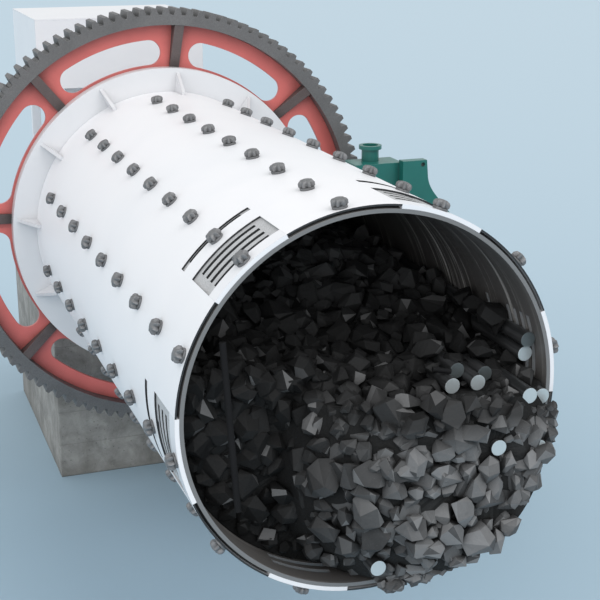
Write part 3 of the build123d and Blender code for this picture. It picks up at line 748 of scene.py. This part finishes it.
def rodEnds():  # middle of each rod's front end
    bm = bmesh.new()
    bm.from_mesh(nodes["grinding_rods"].data)
    bmesh.ops.remove_doubles(bm, verts=bm.verts, dist=1e-5)
    left, ends = set(bm.verts), []
    while left:
        rod, edge = set(), {left.pop()}
        while edge:
            rod |= edge
            edge = {e.other_vert(v) for v in edge for e in v.link_edges} - rod
        left -= rod
        front = min(v.co.y for v in rod)
        disc = [v.co for v in rod if v.co.y < front + 0.001]
        ends.append(sum(disc, Vector()) / len(disc))
    bm.free()
    return ends


def addOre():
    buried = Vector(lumps["buriedEnd"])
    ends = [end for end in rodEnds() if (end - buried).length > lumps["sameEnd"]]
    templates = [lumpTemplate() for _ in range(lumps["kinds"])]
    heap, rods = searchTree("ore_heap"), searchTree("grinding_rods")
    low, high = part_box("ore_heap")
    eye = Vector(cameraView["place"])
    bm = bmesh.new()

    def hides(middle, size, end):  # whether a lump stands before a rod's end, or in it
        sight = eye - end
        ahead = (middle - end).dot(sight) / sight.length
        off = (middle - end - sight.normalized() * ahead).length
        return ahead > -size and off < size * lumps["hiding"] + lumps["endRadius"]

    def place(point, normal, layer):
        size = layer["small"] + (layer["large"] - layer["small"]) * chance.random() ** lumps["smaller"]
        middle = point - normal * size * layer["sunk"]
        inward = fromAxis(middle) + size + lumps["linerGap"] - linerInner
        if 0 < inward < 2 * size and middle.y > rimY:
            middle -= Vector((middle.x, 0, middle.z - axisZ)).normalized() * inward
        while size > lumps["least"] and any(hides(middle, size, end) for end in ends):
            size *= lumps["shrink"]
        if middle.y + size < rimY - lumps["rimGap"]:
            size = min(size, lumps["spillRadius"] - fromAxis(middle))
        else:
            size = min(size, linerInner - lumps["linerGap"] - fromAxis(middle))
        if size < lumps["least"]:
            return
        lie = normal.to_track_quat("Z", "Y").to_matrix().to_4x4()
        spin = Matrix.Rotation(chance.uniform(0, anyTurn), 4, "Z")
        tilt = Matrix.Rotation(chance.uniform(*lumps["tilt"]), 4, "X")
        where = Matrix.Translation(middle) @ lie @ (spin @ tilt) @ Matrix.Scale(size, 4)
        stamp(bm, chance.choice(templates), where)

    def scatter(layer, firstRange, secondRange, ray, tree):
        step = layer["step"]
        for first in range(int((firstRange[1] - firstRange[0]) / step)):
            for second in range(int((secondRange[1] - secondRange[0]) / step)):
                start, way = ray(
                    firstRange[0] + (first + chance.uniform(*lumps["jitter"])) * step,
                    secondRange[0] + (second + chance.uniform(*lumps["jitter"])) * step,
                )
                point, normal = tree.ray_cast(start, way)[:2]
                if point is not None:
                    place(point, normal, layer)

    def fromAbove(x, y):
        return Vector((x, y, axisZ + lumps["above"])), Vector((0, 0, -1))

    def fromFront(x, z):
        return Vector((x, low.y - 1, z)), Vector((0, 1, 0))

    across, back = (-linerInner, linerInner), high.y - lumps["beforeBack"]
    for layer in lumps["layers"]:
        scatter(layer, across, (low.y, back), fromAbove, heap)
        scatter(layer, across, (axisZ - linerInner, axisZ + lumps["frontTop"]), fromFront, heap)
    onRods = dict(lumps["layers"][1], sunk=lumps["onRods"])
    scatter(onRods, across, (rimY + lumps["rodCover"], back), fromAbove, rods)

    # Lumps that hang over the rim at the lower right
    onRim = dict(lumps["layers"][1], sunk=0)
    for _ in range(lumps["fringe"]):
        angle = math.radians(chance.uniform(*lumps["fringeAngles"]))
        radius = chance.uniform(*lumps["fringeRadii"])
        y = rimY - chance.uniform(*lumps["fringeAhead"])
        point = Vector((radius * math.cos(angle), y, axisZ + radius * math.sin(angle)))
        place(point, Vector((0, -1, 0)), onRim)
    addPiece("ore_lumps", bm, ore, sharp=12)


addOre()

# Broken rods among the ore: both ends and the radius of each
brokenRods = [
    ((-0.800, -5.985, 2.795), (-0.745, -6.020, 1.905), 0.017),
    ((0.365, -5.905, 2.487), (0.462, -5.925, 2.470), 0.014),
    ((0.090, -6.225, 2.330), (0.172, -6.245, 2.352), 0.015),
]


def addBrokenRods():
    bm = bmesh.new()
    for first, last, radius in brokenRods:
        stampBar(bm, Vector(first), Vector(last), radius)
    addPiece("broken_rods", bm, barSteel)


addBrokenRods()

# Nuts, bolts and studs, drawn for a thread one metre thick and scaled to size
fastening = {
    "washer": [(0, -0.03), (0.95, -0.03), (0.95, 0.13), (0.92, 0.16), (0, 0.16)],
    "nut": [(0, 0.14), (0.87, 0.14), (0.87, 0.86), (0.76, 0.95), (0, 0.95)],
    "stud": [(0, 0.93), (0.50, 0.93), (0.50, 1.22), (0.42, 1.30), (0, 1.30)],
    "spin": 1.05,  # radians, a sixth of a turn
}
washerMesh = turnedMesh(fastening["washer"], 20)
nutMesh = turnedMesh(fastening["nut"], 6)
studMesh = turnedMesh(fastening["stud"], 12)
facing = {  # turns a template's +Z to where a fastener points
    "up": Matrix.Identity(4), "down": Matrix.Rotation(math.pi, 4, "X"),
    "back": Matrix.Rotation(-math.pi / 2, 4, "X"), "front": Matrix.Rotation(math.pi / 2, 4, "X"),
}


def fasten(bm, place, way, thread, stud=True):
    spin = Matrix.Rotation(chance.uniform(0, fastening["spin"]), 4, "Z")
    where = Matrix.Translation(place) @ facing[way] @ spin @ Matrix.Scale(thread, 4)
    for template in (washerMesh, nutMesh, studMesh) if stud else (washerMesh, nutMesh):
        stamp(bm, template, where)


def roundPiece(bm, place, way, profile, steps=32):
    stamp(bm, turnedMesh(profile, steps), Matrix.Translation(place) @ facing[way])


def unitBox():
    bm = bmesh.new()
    bmesh.ops.create_cube(bm, size=1.0)
    return toMesh(bm, "box")


boxMesh = unitBox()


def slab(bm, low, high):
    size = [b - a for a, b in zip(low, high)]
    middle = [(a + b) / 2 for a, b in zip(low, high)]
    stamp(bm, boxMesh, Matrix.Translation(middle) @ Matrix.Diagonal((*size, 1.0)))


def polar(middle, radius, count, phase=0.0):  # points round an axis along Y
    for number in range(count):
        angle = 2 * math.pi * number / count + phase
        yield middle.x + radius * math.cos(angle), middle.z + radius * math.sin(angle)


# Nuts on the back of the head flange
headBolts = {"count": 36, "radius": 1.160, "thread": 0.036, "flange": 0.050, "phase": 0.05}


def addHeadBolts():
    bm = bmesh.new()
    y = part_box("gear_web_1")[1].y + headBolts["flange"]
    middle = Vector((0, 0, axisZ))
    for x, z in polar(middle, headBolts["radius"], headBolts["count"], headBolts["phase"]):
        fasten(bm, (x, y, z), "back", headBolts["thread"])
    addPiece("head_bolts", bm, boltSteel, "drum")


addHeadBolts()

# Lifting eye: a ring of short bars that lap, on a round foot
liftingEye = {"steps": 20, "overlap": 1.12, "foot": [(0, -0.01), (1, -0.01), (1, 0.006), (0, 0.012)]}


def addEye(bm, place, ring, thick):
    steps = liftingEye["steps"]
    middle = Vector(place) + Vector((0, 0, ring + thick))
    corners = [Vector((x, middle.y, z)) for x, z in polar(middle, ring, steps)]
    for first, last in zip(corners, corners[1:] + corners[:1]):
        stampBar(bm, first, last, thick, liftingEye["overlap"])
    foot = [(radius * ring, height) for radius, height in liftingEye["foot"]]
    roundPiece(bm, place, "up", foot, steps)


# Main bearing: joint studs, anchors in cast bosses and a lifting eye
mainBearing = {
    "jointX": 0.545, "joint": 0.060, "thread": 0.030, "anchorX": 0.572, "anchorRise": 0.128, "anchor": 0.036,
    "boss": [(0, -0.050), (0.046, -0.050), (0.042, -0.003), (0.039, 0.0), (0, 0.0)],
    "rows": (0.085, 0.355), "eye": (0.034, 0.009), "eyeSunk": 0.002,
}


def addMainBearing():
    bosses, nuts = bmesh.new(), bmesh.new()
    low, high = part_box("main_bearing_base")
    for side in (-1, 1):
        for row in mainBearing["rows"]:
            x, y = side * mainBearing["jointX"], low.y + row
            fasten(nuts, (x, y, axisZ + mainBearing["joint"]), "up", mainBearing["thread"])
            fasten(nuts, (x, y, axisZ - mainBearing["joint"]), "down", mainBearing["thread"], False)
            foot = (side * mainBearing["anchorX"], y, low.z + mainBearing["anchorRise"])
            roundPiece(bosses, foot, "up", mainBearing["boss"])
            fasten(nuts, foot, "up", mainBearing["anchor"])
    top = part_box("main_bearing_cap")[1].z - mainBearing["eyeSunk"]
    addEye(nuts, (0, (low.y + high.y) / 2, top), *mainBearing["eye"])
    addPiece("main_bearing_bosses", bosses, greenPaint)
    addPiece("main_bearing_bolts", nuts, machinedSteel)


addMainBearing()

# Pinion bearings: end covers with their screws, and anchors in bosses
pinionBearing = {
    "anchorX": 0.232, "anchorRise": 0.100, "anchor": 0.024, "screws": 6, "screwRadius": 0.135, "screw": 0.012,
    "cover": [(0.096, 0), (0.096, 0.006), (0.104, 0.008), (0.154, 0.008), (0.158, 0.005), (0.158, 0)],
    "boss": [(0, -0.040), (0.032, -0.040), (0.029, -0.002), (0.027, 0.0), (0, 0.0)],
    "screwHead": [(0, 0.007), (0.010, 0.007), (0.010, 0.0125), (0.008, 0.0135), (0, 0.0135)],
}


def addPinionBearings():
    painted, nuts = bmesh.new(), bmesh.new()
    for name in ("pinion_bearing_front", "pinion_bearing_rear"):
        low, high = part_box(name)
        for y, way in ((low.y, "front"), (high.y, "back")):
            roundPiece(painted, (pinionAxis.x, y, pinionAxis.z), way, pinionBearing["cover"], 40)
            for x, z in polar(pinionAxis, pinionBearing["screwRadius"], pinionBearing["screws"]):
                roundPiece(nuts, (x, y, z), way, pinionBearing["screwHead"], 6)
        for side in (-1, 1):
            x = pinionAxis.x + side * pinionBearing["anchorX"]
            foot = (x, (low.y + high.y) / 2, low.z + pinionBearing["anchorRise"])
            roundPiece(painted, foot, "up", pinionBearing["boss"], 24)
            fasten(nuts, foot, "up", pinionBearing["anchor"])
    addPiece("pinion_bearing_covers", painted, greenPaint)
    addPiece("pinion_bearing_bolts", nuts, machinedSteel)


addPinionBearings()

# Reducer: bolts along its split and its foot, and the covers round its shafts
reducer = {
    "split": 0.032, "sideInset": 0.020, "splitBolt": 0.016, "sideRows": (0.07, 0.21, 0.35),
    "frontBolt": 0.010, "frontInset": 0.010, "frontCount": 7, "frontEnd": 0.09, "clearOfShaft": 0.17,
    "foot": 0.060, "footInset": 0.025, "footBolt": 0.022, "inputX": 1.500, "coverSeat": 0.020,
    "inputCover": [
        (0, 0), (0.150, 0), (0.150, 0.022), (0.144, 0.028), (0.070, 0.028), (0.060, 0.034), (0, 0.034),
    ],
    "outputCover": [(0.096, 0), (0.096, 0.006), (0.150, 0.006), (0.154, 0.003), (0.154, 0)],
    "coverScrews": 8, "coverRadius": 0.120, "coverPhase": 0.4,
    "screwHead": [(0, 0.026), (0.011, 0.026), (0.011, 0.036), (0.009, 0.038), (0, 0.038)],
}


def addReducer():
    painted, nuts = bmesh.new(), bmesh.new()
    low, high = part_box("reducer_cover")
    baseLow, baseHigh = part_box("reducer_base")
    top, below = low.z + reducer["split"], baseHigh.z - reducer["split"]
    for x in (low.x + reducer["sideInset"], high.x - reducer["sideInset"]):
        for row in reducer["sideRows"]:
            fasten(nuts, (x, low.y + row, top), "up", reducer["splitBolt"])
            fasten(nuts, (x, low.y + row, below), "down", reducer["splitBolt"], False)
    length = high.x - low.x - 2 * reducer["frontEnd"]
    for number in range(reducer["frontCount"]):
        x = low.x + reducer["frontEnd"] + length * number / (reducer["frontCount"] - 1)
        if abs(x - reducer["inputX"]) > reducer["clearOfShaft"]:
            fasten(nuts, (x, low.y + reducer["frontInset"], top), "up", reducer["frontBolt"])
    for x in (baseLow.x + reducer["footInset"], baseHigh.x - reducer["footInset"]):
        for row in reducer["sideRows"]:
            fasten(nuts, (x, low.y + row, baseLow.z + reducer["foot"]), "up", reducer["footBolt"])
    front = low.y + reducer["coverSeat"]
    shaft = Vector((reducer["inputX"], front, pinionAxis.z))
    roundPiece(painted, shaft, "front", reducer["inputCover"], 40)
    for x, z in polar(shaft, reducer["coverRadius"], reducer["coverScrews"], reducer["coverPhase"]):
        roundPiece(nuts, (x, front, z), "front", reducer["screwHead"], 6)
    roundPiece(painted, (pinionAxis.x, high.y, pinionAxis.z), "back", reducer["outputCover"], 40)
    addPiece("reducer_shaft_covers", painted, greenPaint)
    addPiece("reducer_bolts", nuts, machinedSteel)


addReducer()

# Motor: cooling fins, end shields, the fan's cowl with nearly black discs painted as the shade in its holes,
# the terminal lid and a lifting eye
motor = {
    "radius": 0.235, "fins": 44, "finHigh": 0.016, "finSunk": 0.01, "finThick": 0.006, "finInset": 0.075,
    "lidGap": 0.50, "footGap": 0.84,  # radians without fins, to each side of the lid and of the foot
    "back": 0.200,
    "shield": [(0, -0.004), (0.240, -0.004), (0.246, 0.004), (0.246, 0.046), (0.236, 0.052), (0, 0.052)],
    "cowl": [(0, 0), (0.238, 0), (0.238, 0.060), (0.220, 0.088), (0, 0.088)],
    "holes": 24, "rings": (0.08, 0.13, 0.18), "holeSeat": 0.0875,
    "hole": [(0, 0), (0.011, 0), (0.011, 0.001), (0, 0.001)],
    "lid": 0.012, "lidSunk": 0.002, "lidMargin": 0.014, "boxHalf": (0.115, 0.105),
    "screw": 0.010, "screwInset": 0.016, "eye": (0.024, 0.006), "eyeSunk": 0.003,
}


def finTemplate(front, back):
    half, radius = motor["finThick"] / 2, motor["radius"]
    bm = bmesh.new()
    slab(bm, (-half, front, radius - motor["finSunk"]), (half, back, radius + motor["finHigh"]))
    return toMesh(bm, "fin")


def addTerminalLid(painted, nuts, place):
    halfY, halfZ = (half + motor["lidMargin"] for half in motor["boxHalf"])
    outside = place.x + motor["lid"]
    slab(
        painted, (place.x - motor["lidSunk"], place.y - halfY, place.z - halfZ),
        (outside, place.y + halfY, place.z + halfZ),
    )
    sideways = Matrix.Rotation(math.pi / 2, 4, "Y") @ Matrix.Scale(motor["screw"], 4)
    offY, offZ = halfY - motor["screwInset"], halfZ - motor["screwInset"]
    for y in (place.y - offY, place.y + offY):
        for z in (place.z - offZ, place.z + offZ):
            for template in (washerMesh, nutMesh):
                stamp(nuts, template, Matrix.Translation((outside, y, z)) @ sideways)


def addMotor():
    painted, nuts, dark = bmesh.new(), bmesh.new(), bmesh.new()
    low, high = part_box("motor")
    centre = Vector((reducer["inputX"], 0, pinionAxis.z))
    back = high.y - motor["back"]
    fin = finTemplate(low.y + motor["finInset"], back - motor["finInset"])
    for number in range(motor["fins"]):
        angle = 2 * math.pi * (number + 0.5) / motor["fins"]
        fromLid = abs(math.remainder(angle - math.pi / 2, 2 * math.pi))
        fromFoot = abs(math.remainder(angle - math.pi, 2 * math.pi))
        if fromLid > motor["lidGap"] and fromFoot > motor["footGap"]:
            stamp(painted, fin, Matrix.Translation(centre) @ Matrix.Rotation(angle, 4, "Y"))
    roundPiece(painted, (centre.x, back, centre.z), "front", motor["shield"], 48)
    roundPiece(painted, (centre.x, low.y, centre.z), "back", motor["shield"], 48)
    roundPiece(painted, (centre.x, low.y, centre.z), "front", motor["cowl"], 48)
    # Thin nearly black discs on the cowl's face stand for its holes: painted shade
    for ring in motor["rings"]:
        for x, z in polar(centre, ring, int(motor["holes"] * ring / motor["rings"][-1])):
            roundPiece(dark, (x, low.y - motor["holeSeat"], z), "front", motor["hole"], 10)
    middleY = (low.y + back) / 2
    addTerminalLid(painted, nuts, Vector((high.x, middleY, centre.z)))
    addEye(nuts, (centre.x, middleY, centre.z + motor["radius"] - motor["eyeSunk"]), *motor["eye"])
    addPiece("motor_casing", painted, greenPaint)
    addPiece("motor_screws", nuts, machinedSteel)
    addPiece("motor_cowl_holes", dark, packingRubber)


addMotor()

# Base plates and anchors under the legs of the feed box
legPlates = {"half": 0.100, "seat": 0.0005, "thick": 0.016, "leg": 0.040, "bolt": 0.075, "thread": 0.018}


def addLegPlates():
    plates, nuts = bmesh.new(), bmesh.new()
    low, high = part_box("feed_legs")
    inset, half, bolt = legPlates["leg"], legPlates["half"], legPlates["bolt"]
    seat, top = low.z + legPlates["seat"], low.z + legPlates["thick"]
    for x in (low.x + inset, high.x - inset):
        for y in (low.y + inset, high.y - inset):
            slab(plates, (x - half, y - half, seat), (x + half, y + half, top))
            for dx in (-bolt, bolt):
                for dy in (-bolt, bolt):
                    fasten(nuts, (x + dx, y + dy, top), "up", legPlates["thread"])
    addPiece("leg_plates", plates, whitePaint)
    addPiece("leg_anchors", nuts, machinedSteel)


addLegPlates()

# Bolt heads sunk into both faces of the pinion's coupling
couplingBolts = {
    "count": 8, "radius": 0.145, "head": [(0, -0.001), (0.017, -0.001), (0.017, 0.003), (0, 0.004)],
}


def addCouplingBolts():
    bm = bmesh.new()
    low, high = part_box("pinion_coupling")
    for y, way in ((low.y, "front"), (high.y, "back")):
        for x, z in polar(pinionAxis, couplingBolts["radius"], couplingBolts["count"]):
            roundPiece(bm, (x, y, z), way, couplingBolts["head"], 16)
    addPiece("coupling_bolts", bm, boltSteel, "pinion")


addCouplingBolts()

# Floor, sky and lamps
stageLook = {
    "near": (0.375, 0.500, 0.590), "far": (0.492, 0.590, 0.655), "size": 600.0, "below": 0.001,
    "start": 2.0, "fade": 6.0, "middle": (0.4, -2.5), "sky": (0.575, 0.690, 0.765),
    "gloss": 0.0,
}
suns = {
    "key": {"strength": 1.05, "from": (0.42, -0.60, 0.85), "angle": 50.0},
    "fill": {"strength": 1.15, "from": (-0.75, -0.7, 0.45), "angle": 70.0},
}
worldLight = {"colour": (0.95, 0.98, 1.0), "strength": 0.78}


def makeStage():
    bm = bmesh.new()
    bmesh.ops.create_grid(bm, x_segments=1, y_segments=1, size=stageLook["size"] / 2)
    mesh = toMesh(bm, "floor")
    floor = newObject("floor", mesh)
    floor.location.z = cadLow.z - stageLook["below"]
    material, tree, shader = newMaterial("floor", stageLook)
    # Darker near the machine, fading to the far colour further off: painted shade round the machine that also
    # gives the backdrop its gradient
    middle = (*stageLook["middle"], 0.0)
    moved = addNode(tree, "ShaderNodeVectorMath", {0: objectPlace(tree), 1: middle}, operation="SUBTRACT")
    far = addNode(tree, "ShaderNodeVectorMath", {0: moved.outputs[0]}, operation="LENGTH").outputs["Value"]
    past = calc(tree, "MAXIMUM", calc(tree, "SUBTRACT", far, stageLook["start"]), 0.0)
    mask = calc(tree, "DIVIDE", past, calc(tree, "ADD", past, stageLook["fade"]))
    colour = blend(tree, mask, stageLook["near"], stageLook["far"])
    tree.links.new(colour, shader.inputs["Base Color"])
    shader.inputs["Roughness"].default_value = 1.0
    mesh.materials.append(material)


def makeLamps():
    for name, look in suns.items():
        data = bpy.data.lights.new(name, "SUN")
        data.energy = look["strength"]
        data.angle = math.radians(look["angle"])
        newObject(name, data).rotation_euler = Vector(look["from"]).to_track_quat("Z", "Y").to_euler()
    world = bpy.data.worlds.new("studio")
    bpy.context.scene.world = world
    world.use_nodes = True
    tree = world.node_tree
    seen = addNode(tree, "ShaderNodeLightPath").outputs["Is Camera Ray"]
    light = tuple(worldLight["strength"] * part for part in worldLight["colour"])
    colour = blend(tree, seen, light, stageLook["sky"])
    tree.links.new(colour, tree.nodes["Background"].inputs["Color"])


makeStage()
makeLamps()
print("stage lit")
